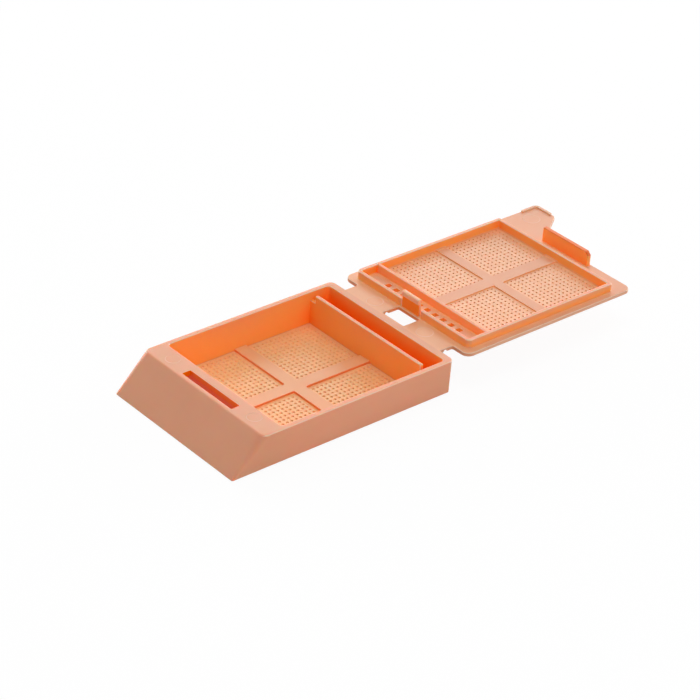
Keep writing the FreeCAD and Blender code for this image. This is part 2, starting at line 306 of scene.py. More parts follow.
def deck_slot():
    shape = rectangle(*SLOT_X, -SLOT_HALF, SLOT_HALF, SLOT_CORNER)
    layers = [(0, RIM - SKIN - OVER)] + top(RIM, -SLOT_MOUTH) + [(SLOT_MOUTH, RIM + OVER)]
    return stack("slot", shape, layers)


cut(tray, label_hollow(), deck_slot())

# %% [markdown]
# ## Ribs and panels of the floor
# Four thin panels lie a little below a broad cross of ribs. The ribs could be bars laid on the
# floor, but then each crossing would need care. One plate fills the cavity up to the top of the
# ribs instead, and four shallow pockets in it leave the cross.

# %% Ribs and panels
FLOOR_RIB = 2.2
RIB_TOP = 0.6
PANEL_MARGIN = 0.02
PANEL_CORNER, PANEL_FILLET, PANEL_EDGE = 0.25, 0.08, 0.02
INTO, PROUD = 0.3, 0.2
DIVIDER_X = (CAVITY_BACK_X - 3.65, CAVITY_BACK_X - 3.05)
FLOOR_MIDDLE = (CAVITY_FRONT_X + INNER_LEAN + DIVIDER_X[0]) / 2


def stretches(low, high, rib):
    """The two stretches that a rib leaves between two walls, inside a hair's margin."""
    middle = (low + high) / 2
    return [(low + PANEL_MARGIN, middle - rib / 2), (middle + rib / 2, high - PANEL_MARGIN)]


def four_panels(x0, x1, half, rib_across, rib_along):
    """(x0, x1, y0, y1) of the four panels round a cross of ribs."""
    return [(*along, *across) for along in stretches(x0, x1, rib_across)
            for across in stretches(-half, half, rib_along)]


def recess(panel, low, high, past=0.0):
    """Cutter for a shallow pocket; it may reach past its panel on the sides away from the ribs."""
    x0, x1, y0, y1 = panel
    x0, x1 = (x0 - past, x1) if x0 < FLOOR_MIDDLE else (x0, x1 + past)
    y0, y1 = (y0 - past, y1) if y0 < 0 else (y0, y1 + past)
    layers = foot(low, PANEL_FILLET) + top(high, -PANEL_EDGE) + [(PANEL_EDGE, high + PROUD)]
    return stack("recess", rectangle(x0, x1, y0, y1, PANEL_CORNER), layers)


floor_half = CAVITY_HALF - INNER_LEAN
floor_panels = four_panels(CAVITY_FRONT_X + INNER_LEAN, DIVIDER_X[0], floor_half, FLOOR_RIB, FLOOR_RIB)
plate = rectangle(CAVITY_FRONT_X - INTO, DIVIDER_X[0] + INTO, -CAVITY_HALF - INTO, CAVITY_HALF + INTO, 0)
ribs = stack("floor_ribs", plate, [(0, 0.05), (0, RIB_TOP)])
cut(ribs, *[recess(panel, FLOOR - 0.05, RIB_TOP, OVER) for panel in floor_panels])
joined(tray, ribs)
print("first floor panel:", floor_panels[0])

# %% [markdown]
# ## The sieve
# Each panel has 14 by 14 square holes, narrower below, so that the steel pins of the mould can pull
# out. A pin's corner radius is larger than its taper, or the points of its corners would cross at
# the narrow end. All the pins of a panel are one mesh of separate blocks, and one cut takes them
# all. Before that, the level faces are scored through each row and column of holes, because a face
# with 196 holes in it would be filled by long thin triangles.

# %% Holes in a grid
HOLE_CORNER = 0.12
HOLE_TAPER = 0.1
HOLE_MOUTH, MOUTH_DEPTH = 0.04, 0.03
TRAY_HOLE = 0.42
LEVEL = 0.999


def spread(low, high, count, pitch):
    """Places of a row of holes in the middle of a stretch."""
    first = (low + high - (count - 1) * pitch) / 2
    return [first + number * pitch for number in range(count)]


def scored(body, along, across, high):
    """Split the level faces, up to a height, through the middle of each column and row of holes."""
    shell = bmesh.new()
    shell.from_mesh(body.data)
    shell.normal_update()
    lines = [((x, 0, 0), (1, 0, 0)) for x in along] + [((0, y, 0), (0, 1, 0)) for y in across]
    for place, way in lines:
        level = [face for face in shell.faces
                 if abs(face.normal.z) > LEVEL and face.calc_center_median().z < high + 0.01]
        edges = {edge for face in level for edge in face.edges}
        points = {point for face in level for point in face.verts}
        bmesh.ops.bisect_plane(shell, geom=[*level, *edges, *points],
                               plane_co=place, plane_no=way, dist=1e-5)
    shell.to_mesh(body.data)
    shell.free()
    print(body.name, "scored along", len(lines), "lines")


def hole_lines(panels, columns, rows, pitch):
    """Places of all the columns and all the rows of holes in a set of panels."""
    along = {x for x0, x1, *_ in panels for x in spread(x0, x1, columns, pitch[0])}
    across = {y for *_, y0, y1 in panels for y in spread(y0, y1, rows, pitch[1])}
    return sorted(along), sorted(across)


def pins(name, panel, columns, rows, pitch, size, low, high):
    """Taper blocks in a grid over one panel, each with a soft mouth at the top."""
    x0, x1, y0, y1 = panel
    half = size / 2
    square = rectangle(-half, half, -half, half, HOLE_CORNER)
    square = [point for index, point in enumerate(square)
              if index % (CORNER_STEPS + 1) in (0, CORNER_STEPS)]
    layers = [(-HOLE_TAPER, low - INTO), (-HOLE_TAPER, low), (0.0, high - MOUTH_DEPTH),
              (HOLE_MOUTH, high), (HOLE_MOUTH, high + PROUD)]
    grid = bmesh.new()
    for x in spread(x0, x1, columns, pitch[0]):
        for y in spread(y0, y1, rows, pitch[1]):
            here = [(point + Vector((x, y)), way) for point, way in square]
            skin(grid, [loop(here, growth, z) for growth, z in layers])
    return as_object(name, grid)


def sieve(piece, panels, columns, rows, pitch, size, low, high):
    """Score a piece through its holes, and then cut them."""
    scored(piece, *hole_lines(panels, columns, rows, pitch), high)
    cut(piece, *[pins("pins", panel, columns, rows, pitch, size, low, high) for panel in panels])


sieve(tray, floor_panels, 14, 14, (0.82, 0.803), TRAY_HOLE, 0, FLOOR)

# %% [markdown]
# ## Divider and the tray's half of the strap
# A low wall crosses the tray, cut down at both ends so that the lid's frame can pass. Behind it lies
# the channel for the hook. Both parts of the wall are rounded stacks with a fillet at their foot,
# and the boolean joins them to the floor and the sides. The strap is drawn as its section, seen
# along the moulding, because the thin film that follows has to carry on from that same section.

# %% Tray divider and strap
SINK = 0.15
DIVIDER_HALF, DIVIDER_TOP = 12.1, RIM - 0.15
DIVIDER_FOOT_TOP = 4.25
PLATE = 0.65
PLATE_LOW = RIM - PLATE
EDGE_ROUND = 0.12
STRAP_HALF = 10.85
WINDOW_X = (BACK_X + 0.2, lid_low.x + 2.35)
WINDOW_HALF, WINDOW_CORNER = 2.4, 0.2
FILM_X = (fold.x - 0.6, fold.x + 0.6)
JOINT_GAP = 0.006
LENGTHWAYS = Matrix(((0, 0, 1, 0), (1, 0, 0, 0), (0, 1, 0, 0), (0, 0, 0, 1)))


def standing(name, shape, low, high, edge):
    """Solid that stands on a face, rounded at the top, with a fillet at its foot."""
    return stack(name, shape, [(FILLET, low - SINK)] + foot(low, -FILLET) + top(high, edge))


def wall(name, x, half, low, high, edge):
    """Upright wall across the moulding."""
    return standing(name, rectangle(*x, -half, half, edge), low, high, edge)


def strap(name, y0, y1, stations):
    """Piece of the hinge strap through (x, underside z) stations."""
    loops = []
    for x, low in stations:
        section = rectangle(y0, y1, low, RIM, EDGE_ROUND)
        loops.append([LENGTHWAYS @ Vector(point) for point in loop(section, 0, x)])
    return solid(name, loops)


def window():
    """Cutter for the hole through the strap, with a soft edge above and below."""
    shape = rectangle(*WINDOW_X, -WINDOW_HALF, WINDOW_HALF, WINDOW_CORNER)
    layers = [(EDGE_ROUND, PLATE_LOW - OVER)] + foot(PLATE_LOW, -EDGE_ROUND)
    layers += top(RIM, -EDGE_ROUND) + [(EDGE_ROUND, RIM + OVER)]
    return stack("window", shape, layers)


joined(tray,
       wall("divider_foot", DIVIDER_X, CAVITY_HALF + INTO, FLOOR, DIVIDER_FOOT_TOP, 0.12),
       wall("divider", DIVIDER_X, DIVIDER_HALF, FLOOR, DIVIDER_TOP, 0.2),
       strap("tray_strap", -STRAP_HALF, STRAP_HALF,
             [(BACK_X - 0.8, PLATE_LOW), (FILM_X[0] - JOINT_GAP, PLATE_LOW)]))
cut(tray, window())

# %% [markdown]
# ## The lid plate
# The lid is a flat plate with the other half of the strap at one end and a thumb tab at one corner.
# One outline draws all of it, and the same two quarter circles round its edges above and below. It
# starts a little inside the film, and is then cut off flat where the film ends.

# %% Lid plate
PLATE_NEAR_X = 2 * fold.x - BACK_X + 0.3
TAB_END_X = lid_high.x
PLATE_FAR_X = TAB_END_X - 6.5
TAB_ROOT_Y = HALF_WIDTH - 8.8
TAB_TIP_Y = HALF_WIDTH - 4.4
STRAP_CORNER, LID_CORNER, TAB_ROOT_CORNER, TAB_CORNER = 0.3, 1.3, 1.6, 0.9

lid_shape = outline(
    (fold.x, -STRAP_HALF, 0), (PLATE_NEAR_X, -STRAP_HALF, STRAP_CORNER),
    (PLATE_NEAR_X, -HALF_WIDTH, LID_CORNER), (PLATE_FAR_X, -HALF_WIDTH, LID_CORNER),
    (PLATE_FAR_X, TAB_ROOT_Y, TAB_ROOT_CORNER), (TAB_END_X, TAB_TIP_Y, TAB_CORNER),
    (TAB_END_X, HALF_WIDTH, TAB_CORNER), (PLATE_NEAR_X, HALF_WIDTH, LID_CORNER),
    (PLATE_NEAR_X, STRAP_HALF, STRAP_CORNER), (fold.x, STRAP_HALF, 0))
lid = stack("lid", lid_shape, foot(PLATE_LOW, EDGE_ROUND) + top(RIM, EDGE_ROUND))
print("lid plate:", len(lid_shape), "points round its edge")

# %% [markdown]
# ## What stands on the lid
# A frame runs round the lid and goes down inside the tray when it is shut. It is a closed ring of
# loops: up its outer face, over the top and down its inner face. The corners of the ring are rounder
# on the hinge side. It is broken beside the window, and a short post with round corners finishes
# each broken end. In the break stands the hook, with a bead along its top, which goes down between
# the tray's divider and its back wall. At the far end a blade drops into the slot of the deck.

# %% Frame, divider, hook and tongue
FRAME_X = (fold.x + (fold.x - CAVITY_BACK_X) + 0.25, fold.x + (fold.x - CAVITY_FRONT_X) - 0.2)
FRAME_HALF = CAVITY_HALF - 0.4
FRAME_WALL = 0.6
FRAME_TOP = RIM + 1.35
FRAME_ROUND = 0.2
FRAME_CORNER, FRAME_FAR_CORNER, FRAME_INNER_CORNER = 0.8, 0.45, 0.25
LID_DIVIDER_X = (28.15, 28.7)
HOOK_X = FRAME_X[0] - 0.1
HOOK_TOP = lid_high.z
HOOK_BEAD, HOOK_THICKNESS = 0.2, 0.8
HOOK_Y = (-2.25, 1.55)
TONGUE_X = (56.75, 57.5)
TONGUE_HALF, TONGUE_TOP, TONGUE_CUT = 5.1, RIM + 2.4, 0.6
BLADE_ROUND = 0.15


def lid_frame():
    outer = rectangle(*FRAME_X, -FRAME_HALF, FRAME_HALF, FRAME_CORNER, FRAME_FAR_CORNER)
    x0, x1, half = FRAME_X[0] + FRAME_WALL, FRAME_X[1] - FRAME_WALL, FRAME_HALF - FRAME_WALL
    inner = rectangle(x0, x1, -half, half, FRAME_INNER_CORNER)
    up = [(FILLET, RIM - SINK)] + foot(RIM, -FILLET) + top(FRAME_TOP, FRAME_ROUND)
    down = [(-FILLET, RIM - SINK)] + foot(RIM, FILLET) + top(FRAME_TOP, -FRAME_ROUND)
    loops = [loop(outer, growth, z) for growth, z in up]
    loops += [loop(inner, growth, z) for growth, z in reversed(down)]
    frame_ring = solid("frame", loops, ring=True)
    low, high = FRAME_X[0] - 0.4, FRAME_X[0] + FRAME_WALL + 0.3
    cut(frame_ring, stack("gap", rectangle(low, high, -WINDOW_HALF, WINDOW_HALF, 0),
                          [(0, RIM - 0.5), (0, FRAME_TOP + OVER)]))
    posts = []
    for y in (-WINDOW_HALF - 0.3, WINDOW_HALF + 0.3):
        shape = rectangle(FRAME_X[0], FRAME_X[0] + FRAME_WALL, y - FRAME_WALL, y + FRAME_WALL, FRAME_ROUND)
        posts.append(standing("post", shape, RIM, FRAME_TOP, FRAME_ROUND))
    return joined(frame_ring, *posts)


def hook():
    """The bead along its top stands forward, towards the hinge."""
    front, rear = HOOK_X + HOOK_BEAD, HOOK_X + HOOK_THICKNESS
    section = outline((front, RIM - INTO, 0), (rear, RIM - INTO, 0), (rear, HOOK_TOP, 0.3),
                      (HOOK_X, HOOK_TOP, 0.3), (HOOK_X, HOOK_TOP - 0.8, BLADE_ROUND),
                      (front, HOOK_TOP - 0.95, 0.1))
    return stack("hook", section, foot(HOOK_Y[0], BLADE_ROUND) + top(HOOK_Y[1], BLADE_ROUND), SIDEWAYS)


def tongue():
    """Blade across the lid, with one top corner cut off aslant."""
    half, high = TONGUE_HALF, TONGUE_TOP
    section = outline((-half, RIM - INTO, 0), (half, RIM - INTO, 0), (half, high, BLADE_ROUND),
                      (-half + TONGUE_CUT, high, BLADE_ROUND), (-half, high - TONGUE_CUT, BLADE_ROUND))
    layers = foot(TONGUE_X[0], BLADE_ROUND) + top(TONGUE_X[1], BLADE_ROUND)
    return stack("tongue", section, layers, LENGTHWAYS)


joined(lid, lid_frame(), wall("lid_divider", LID_DIVIDER_X, FRAME_HALF - INTO, RIM, FRAME_TOP, 0.18),
       hook(), tongue())

# %% [markdown]
# ## Lip, window, holes and panels of the lid
# A low lip on the thumb tab gives the nail something to lift. Then the lid is pierced: the window in
# front of the hook, ten square holes in the strip behind the hinge, and four meshed panels like the
# ones in the tray, but with smaller holes. The same helpers do all of it with other values.

# %% Lip and holes
STRIP_X = 26.85
STRIP_PITCH = 1.79
STRIP_HOLES = 10
STRIP_HALF = 0.475
STRIP_TAPER, STRIP_MOUTH = 0.1, 0.07
LIP_LENGTH, LIP_WIDTH, LIP_HEIGHT = 3.6, 0.5, 0.3
LIP_FILLET, LIP_EDGE = 0.15, 0.12
LID_MESH = RIM - 0.25
LID_HOLE = 0.34


def lip():
    """Low wall along the outer side and the end of the thumb tab."""
    start, wide, high = TAB_END_X - LIP_LENGTH, LIP_WIDTH, RIM + LIP_HEIGHT
    outer = outline((start, TAB_TIP_Y + 0.4, 0.2), (TAB_END_X, TAB_TIP_Y + 0.4, 0.6),
                    (TAB_END_X, HALF_WIDTH, TAB_CORNER), (start, HALF_WIDTH, 0.2))
    inner = outline((start - OVER, TAB_TIP_Y, 0), (TAB_END_X - wide, TAB_TIP_Y, 0),
                    (TAB_END_X - wide, HALF_WIDTH - wide, 0.4), (start - OVER, HALF_WIDTH - wide, 0))
    block = stack("lip", outer, [(0, RIM - INTO)] + top(high, LIP_EDGE))
    layers = [(-LIP_FILLET, RIM - 0.5)] + foot(RIM, LIP_FILLET) + top(high, -LIP_EDGE)
    layers.append((LIP_EDGE, RIM + OVER))
    return cut(block, stack("lip_inside", inner, layers))


def strip_hole(y):
    shape = rectangle(STRIP_X - STRIP_HALF, STRIP_X + STRIP_HALF,
                      y - STRIP_HALF, y + STRIP_HALF, HOLE_CORNER)
    layers = [(-STRIP_TAPER, PLATE_LOW - OVER), (-STRIP_TAPER, PLATE_LOW)] + top(RIM, -STRIP_MOUTH)
    return stack("strip_hole", shape, layers + [(STRIP_MOUTH, RIM + 0.4)])


def lid_end():
    """Block that cuts the lid off flat where the film ends."""
    shape = rectangle(fold.x - OVER, FILM_X[1] + JOINT_GAP, -HALF_WIDTH, HALF_WIDTH, 0)
    return stack("lid_end", shape, [(0, PLATE_LOW - OVER), (0, RIM + OVER)])


joined(lid, lip())
strip_places = spread(0, 0, STRIP_HOLES, STRIP_PITCH)
scored(lid, [STRIP_X], strip_places, RIM)
cut(lid, window(), lid_end(), *[strip_hole(y) for y in strip_places])
frame_inside = FRAME_HALF - FRAME_WALL
lid_panels = four_panels(LID_DIVIDER_X[1], FRAME_X[1] - FRAME_WALL, frame_inside, 1.8, 2.3)
cut(lid, *[recess(panel, LID_MESH, RIM) for panel in lid_panels])
sieve(lid, lid_panels, 13, 14, (0.85, 0.8), LID_HOLE, PLATE_LOW, LID_MESH)

# %% [markdown]
# ## The film
# At the fold the strap is thinned from below to a film, which bends without breaking, thousands of
# times. It is a piece of its own, one strip each side of the window, because it has to bend between
# the tray and the lid. It has many loops along its length so that it can curl when the lid is shut.

# %% Hinge film
FILM_THICKNESS = 0.3
GROOVE_REACH = 0.45
FILM_STEPS = 24


def film_station(share):
    """Place along the film, and how high its underside lies there."""
    x = FILM_X[0] + (FILM_X[1] - FILM_X[0]) * share
    depth = max(0.0, 1 - abs(x - fold.x) / GROOVE_REACH)
    return x, PLATE_LOW + (PLATE - FILM_THICKNESS) * math.sin(depth * math.pi / 2)


stations = [film_station(step / FILM_STEPS) for step in range(FILM_STEPS + 1)]
film = joined(strap("hinge_film", -STRAP_HALF, -WINDOW_HALF, stations),
              strap("film_strip", WINDOW_HALF, STRAP_HALF, stations))
print("film thickness at the fold:", round(RIM - max(low for x, low in stations), 3))

# %% [markdown]
# ## Marks for painted light and shade
# Some light and shade is painted into the tone of this plastic, following the shape of each face. A
# rounded edge gets a painted highlight, which is a paler tone for the light it catches. A thin sheet, the
# side of a rib or a slot gets a deeper, warmer tone. That tone is a painted glow for light that has come
# through the plastic, and painted shade in holes and slots. A painted map would have to be laid out over
# 1500 holes. So each face gets two numbers from its place, slope and neighbours, and the material reads
# them.

# %% How much painted highlight a face gets
HIGHLIGHT_MARK = "painted_highlight"
# Shares of a painted highlight. This is a paler tone for the light caught by rounded edges, the hook's
# bead, the lid's divider and mesh, and the tongue.
HIGHLIGHT_SHARES = {"rounded edge": 1.0, "hook bead": 0.8, "lid divider": 0.45, "lid mesh": 0.25, "tongue": 0.1}
EDGE_WIDTH = 0.1
EDGE_TURN = (10, 28)
EDGE_LOWEST = 0.5
HAIR = 0.01


def within(value, span, margin=0.0):
    """True for a value inside a span, or up to a margin outside it."""
    return span[0] - margin < value < span[1] + margin


def painted_highlight_share(piece, face):
    """Share of painted highlight: most on the narrow steps of a rounded edge, and less on a few thin parts
    of the lid.
    """
    x, y, z = face.calc_center_median()
    if piece is lid and z > HOOK_TOP - 0.9 and x < HOOK_X + 1:
        return HIGHLIGHT_SHARES["hook bead"]
    if piece is lid and LID_DIVIDER_X[1] < x < FRAME_X[1] and PLATE_LOW + HAIR < z < LID_MESH + HAIR:
        return HIGHLIGHT_SHARES["lid mesh"]
    if piece is lid and abs(x - LID_DIVIDER_X[0]) < 0.1 and z > RIM and abs(face.normal.z) < 0.3:
        return HIGHLIGHT_SHARES["lid divider"]
    turns = [math.degrees(edge.calc_face_angle_signed(0)) for edge in face.edges]
    width = face.calc_area() / max(edge.calc_length() for edge in face.edges)
    if z < EDGE_LOWEST or width >= EDGE_WIDTH or sum(within(turn, EDGE_TURN) for turn in turns) < 2:
        return 0.0
    return HIGHLIGHT_SHARES["tongue" if x > TONGUE_X[0] - 0.1 and z > RIM + 0.5 else "rounded edge"]


print("pale tones:", HIGHLIGHT_SHARES)

# %% How much painted glow and shade a face gets
GLOW_AND_SHADE_MARK = "painted_glow_and_shade"
# Shares of painted glow and shade. They give a deeper, warmer tone for light that has come through the
# plastic, and a darker tone in holes and slots for their shade.
GLOW_AND_SHADE = {"tray hole": 0.9, "tray mesh": 0.5, "rib side": 0.85, "rib top": 0.25, "slot": 1.0,
        "opening": 0.75, "lid divider": 0.45, "strap": 0.12, "lid mesh": 0.2, "lid recess": 0.6,
        "tongue face": 0.4, "tongue edge": 1.0, "hook neck": 0.9, "hook bead": 0.25}


def glow_and_shade_in_floor(z, upright):
    """Painted glow and shade on the mesh, the hole walls and the ribs of the tray's floor."""
    if z < FLOOR - HAIR:
        return GLOW_AND_SHADE["tray hole"] * upright
    if z < FLOOR + HAIR:
        return GLOW_AND_SHADE["tray mesh"]
    return GLOW_AND_SHADE["rib side" if upright > 0.5 else "rib top"]


def glow_and_shade_on_lid(x, y, z, upright):
    """Painted glow and shade on the panels, the tongue and the hook of the lid."""
    if z < RIM - HAIR:
        on_mesh = within(x, (LID_DIVIDER_X[1], FRAME_X[1])) and abs(y) < frame_inside
        if not on_mesh or z < PLATE_LOW + HAIR:
            return 0.0
        return GLOW_AND_SHADE["lid mesh" if z < LID_MESH + HAIR else "lid recess"]
    if within(x, TONGUE_X, 0.1) and z > RIM + 0.1:
        return GLOW_AND_SHADE["tongue face" if upright > 0.7 else "tongue edge"]
    if within(x, (HOOK_X - 0.1, HOOK_X + 0.9)) and within(y, HOOK_Y, 0.05):
        return GLOW_AND_SHADE["hook neck"] * upright if z < HOOK_TOP - 0.85 else GLOW_AND_SHADE["hook bead"]
    return 0.0


def painted_glow_and_shade(piece, face):
    """Share of painted glow and shade: 0 on faces in the open, about 0.5 on thin sheets and up to 1 in
    slots.
    """
    x, y, z = face.calc_center_median()
    upright = 1 - abs(face.normal.z)
    on_floor = within(x, (CAVITY_FRONT_X, DIVIDER_X[0])) and abs(y) < floor_half and z < RIB_TOP + HAIR
    if piece is tray and on_floor:
        return glow_and_shade_in_floor(z, upright)
    if within(x, SLOT_X, 0.05) and abs(y) < SLOT_HALF + 0.05 and z > RIM - SKIN - 0.2:
        return GLOW_AND_SHADE["slot"] * upright
    if within(x, WINDOW_X, 0.1) and abs(y) < WINDOW_HALF + 0.1 and z < RIM:
        return GLOW_AND_SHADE["opening"] * upright
    if piece is lid and abs(x - STRIP_X) < STRIP_HALF + 0.1 and z < RIM - HAIR:
        return GLOW_AND_SHADE["opening"] * upright
    if piece is lid and abs(x - LID_DIVIDER_X[0]) < 0.1 and z > RIM:
        return GLOW_AND_SHADE["lid divider"] * upright
    if within(x, (BACK_X, FRAME_X[0])) and face.normal.z > 0.9:
        return GLOW_AND_SHADE["strap"]
    return glow_and_shade_on_lid(x, y, z, upright) if piece is lid else 0.0


print("deep tones:", GLOW_AND_SHADE)

# %% [markdown]
# ## Finishing the meshes
# Now everything is scaled to metres. Curved parts are shaded smooth, but an edge sharper than 30
# degrees stays crisp. The booleans leave long thin triangles next to the fillets, and plain smooth
# shading would smear light across them. The Weighted Normal modifier lets the large flat faces win.

# %% Marks, scale and shading
SHARP_ANGLE = math.radians(30)
FLAT_FACES_WIN = 50


def finish(piece):
    """Store a piece's painted highlight and painted glow and shade on its faces, scale it to metres and
    shade it smooth except over sharp edges.
    """
    shell = bmesh.new()
    shell.from_mesh(piece.data)
    shell.normal_update()
    glow_and_shade_shares = [painted_glow_and_shade(piece, face) for face in shell.faces]
    highlights = [painted_highlight_share(piece, face) for face in shell.faces]
    bmesh.ops.scale(shell, vec=(MM, MM, MM), verts=shell.verts)
    for face in shell.faces:
        face.smooth = True
    for edge in shell.edges:
        edge.smooth = edge.calc_face_angle(0) < SHARP_ANGLE
    shell.to_mesh(piece.data)
    shell.free()
    for mark, values in ((HIGHLIGHT_MARK, highlights), (GLOW_AND_SHADE_MARK, glow_and_shade_shares)):
        piece.data.attributes.new(mark, "FLOAT", "FACE").data.foreach_set("value", values)
    normals = piece.modifiers.new("even_shading", "WEIGHTED_NORMAL")
    normals.keep_sharp = True
    normals.weight = FLAT_FACES_WIN
    return piece


for piece in (tray, lid, film):
    finish(piece)
    print(piece.name, "triangles:", sum(len(face.vertices) - 2 for face in piece.data.polygons))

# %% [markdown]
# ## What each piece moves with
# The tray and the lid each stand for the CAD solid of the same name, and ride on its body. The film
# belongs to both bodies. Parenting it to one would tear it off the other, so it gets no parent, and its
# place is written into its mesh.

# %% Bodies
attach(tray, "tray")
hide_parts("cassette_tray")
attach(lid, "lid")
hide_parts("cassette_lid")
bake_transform(film)
print("pieces in the slot acetal:", [piece.name for piece in (tray, lid, film)])

# %% [markdown]
# ## What the plastic looks like
# Acetal is translucent and waxy. Light goes in, wanders a millimetre or less and comes out warmer, since
# the dye takes blue and green first. A flat colour would look like paint, so the shader's subsurface
# scattering carries light inside the plastic. It misses light that has crossed a whole cavity or sheet. So
# node groups paint light and shade into the base colour. A deeper tone in cavities and on marked faces is
# painted glow and shade, and a paler one on marked edges is a painted highlight. They also lay on a slow
# drift where the melt flowed, and the rings that ejector pins leave, with a painted highlight on each
# ring. Their inputs have names, so that another finish can give them its own values.

# %% Node helpers
def effect(name, inputs, outputs):
    """A shader node group with (name, kind, value) inputs and (name, kind) outputs."""
    tree = bpy.data.node_groups.new(name, "ShaderNodeTree")
    for label, kind, value in inputs:
        socket = tree.interface.new_socket(label, in_out="INPUT", socket_type="NodeSocket" + kind)
        socket.default_value = value
    for label, kind in outputs:
        tree.interface.new_socket(label, in_out="OUTPUT", socket_type="NodeSocket" + kind)
    print("group", name, "takes", [label for label, *_ in inputs],
          "and gives", [label for label, _ in outputs])
    return tree, tree.nodes.new("NodeGroupInput").outputs, tree.nodes.new("NodeGroupOutput").inputs


def feed(tree, socket, value):
    """Give an input socket a plain value, or link the output of another node to it."""
    if isinstance(value, bpy.types.NodeSocket):
        tree.links.new(value, socket)
    elif value is not None:
        socket.default_value = value


def give(node, **values):
    """Set a node's own sockets, named with _ for a space, and return the node."""
    for label, value in values.items():
        node.inputs[label.replace("_", " ")].default_value = value
    return node


def maths(tree, operation, first, second=None, kind="ShaderNodeMath"):
    """First output of a maths node; each input is a plain value or another node's output."""
    node = tree.nodes.new(kind)
    node.operation = operation
    for socket, value in zip(node.inputs, (first, second)):
        feed(tree, socket, value)
    return node.outputs["Value" if operation == "LENGTH" else 0]


def vector_maths(tree, operation, first, second=None):
    """The same for vectors; the length of a vector is a number."""
    return maths(tree, operation, first, second, "ShaderNodeVectorMath")


def mixed(tree, share, first, second):
    """Output of a Mix node between two colours."""
    node = tree.nodes.new("ShaderNodeMix")
    node.data_type = "RGBA"
    for socket, value in (("Factor", share), (6, first), (7, second)):
        feed(tree, node.inputs[socket], value)
    return node.outputs[2]


def eased(tree, value, low, high):
    """Share from 0 to 1, eased in and out, as a value goes from low to high."""
    node = tree.nodes.new("ShaderNodeMapRange")
    node.interpolation_type = "SMOOTHSTEP"
    for label, given in (("Value", value), ("From Min", low), ("From Max", high)):
        feed(tree, node.inputs[label], given)
    return node.outputs["Result"]


def place_on_piece(tree):
    """The place on the piece, in metres."""
    return tree.nodes.new("ShaderNodeTexCoord").outputs["Object"]


def mark_of_face(tree, name):
    """A number that was stored on the faces."""
    node = tree.nodes.new("ShaderNodeAttribute")
    node.attribute_name = name
    return node.outputs["Fac"]


def noise(tree, size, place, detail=2.0):
    """Noise whose lumps are about the given size; size is a node output, in metres."""
    node = give(tree.nodes.new("ShaderNodeTexNoise"), Detail=detail)
    tree.links.new(place, node.inputs["Vector"])
    tree.links.new(maths(tree, "DIVIDE", 1.0, size), node.inputs["Scale"])
    return node.outputs["Fac"]


print("helpers make math, mix, range, mark and noise nodes")

# %% [markdown]
# ## Moulding grain
# The steel of the mould is finely eroded, and the plastic copies it, so the gloss is soft. It also
# shrinks as it cools, which leaves a slow waviness. Two noises in the space of the piece need no
# unwrapping, and their sizes are real ones, in metres. The slow one changes the gloss a little too.

# %% Moulding grain
def moulding_grain():
    """Fine texture of the mould's steel, over a slow waviness, with the gloss that goes with it."""
    tree, given, made = effect(
        "moulding grain",
        [("Grain Size", "Float", 0.0001), ("Grain Depth", "Float", 0.000001),
         ("Wave Size", "Float", 0.002), ("Wave Depth", "Float", 0.000004),
         ("Gloss", "Float", 0.4), ("Gloss Change", "Float", 0.1)],
        [("Height", "Float"), ("Roughness", "Float")])
    place = place_on_piece(tree)
    grain = noise(tree, given["Grain Size"], place)
    wave = noise(tree, given["Wave Size"], place, 3.0)
    height = maths(tree, "ADD", maths(tree, "MULTIPLY", grain, given["Grain Depth"]),
                   maths(tree, "MULTIPLY", wave, given["Wave Depth"]))
    change = maths(tree, "MULTIPLY", maths(tree, "SUBTRACT", wave, 0.5), given["Gloss Change"])
    tree.links.new(height, made["Height"])
    tree.links.new(maths(tree, "ADD", change, given["Gloss"]), made["Roughness"])
    return tree


GRAIN = moulding_grain()

# %% [markdown]
# ## Ejector marks
# Steel pins push the moulding out of the mould while it is still soft, and each leaves a shallow round
# print. It is too shallow to be worth a cut in the mesh, so it is bump. The distance from its middle,
# eased over the rim, is a height, and halfway up lies a ring, painted a little paler as a painted
# highlight on the print's rim.

# %% Ejector mark
MARK_FLATNESS = (1, 1, 8)
MARK_RIM = 0.86


def ejector_mark():
    """A shallow round print with a soft rim, where a pin pushed the moulding out, and the mask of a
    painted highlight on that rim.
    """
    tree, given, made = effect(
        "ejector mark",
        [("Place", "Vector", (0, 0, 0)), ("Radius", "Float", 0.0014), ("Depth", "Float", 0.00002)],
        [("Height", "Float"), ("Ring Highlight", "Float")])
    offset = vector_maths(tree, "SUBTRACT", place_on_piece(tree), given["Place"])
    apart = vector_maths(tree, "LENGTH", vector_maths(tree, "MULTIPLY", offset, MARK_FLATNESS))
    inside = maths(tree, "MULTIPLY", given["Radius"], MARK_RIM)
    rise = eased(tree, apart, inside, given["Radius"])
    tree.links.new(maths(tree, "MULTIPLY", rise, given["Depth"]), made["Height"])
    # The ring mask is for a painted highlight halfway up the rim.
    ring = maths(tree, "MULTIPLY", rise, maths(tree, "SUBTRACT", 1.0, rise))
    tree.links.new(maths(tree, "MULTIPLY", ring, 4.0), made["Ring Highlight"])
    return tree


MARK = ejector_mark()

# %% [markdown]
# ## Flow tint
# The dye isn't spread quite evenly: the tone drifts along the way the melt ran. Vertex colours
# could hold this only as finely as the mesh is divided, so a noise does it. Its coordinates are
# squeezed lengthways, which draws its lumps out.

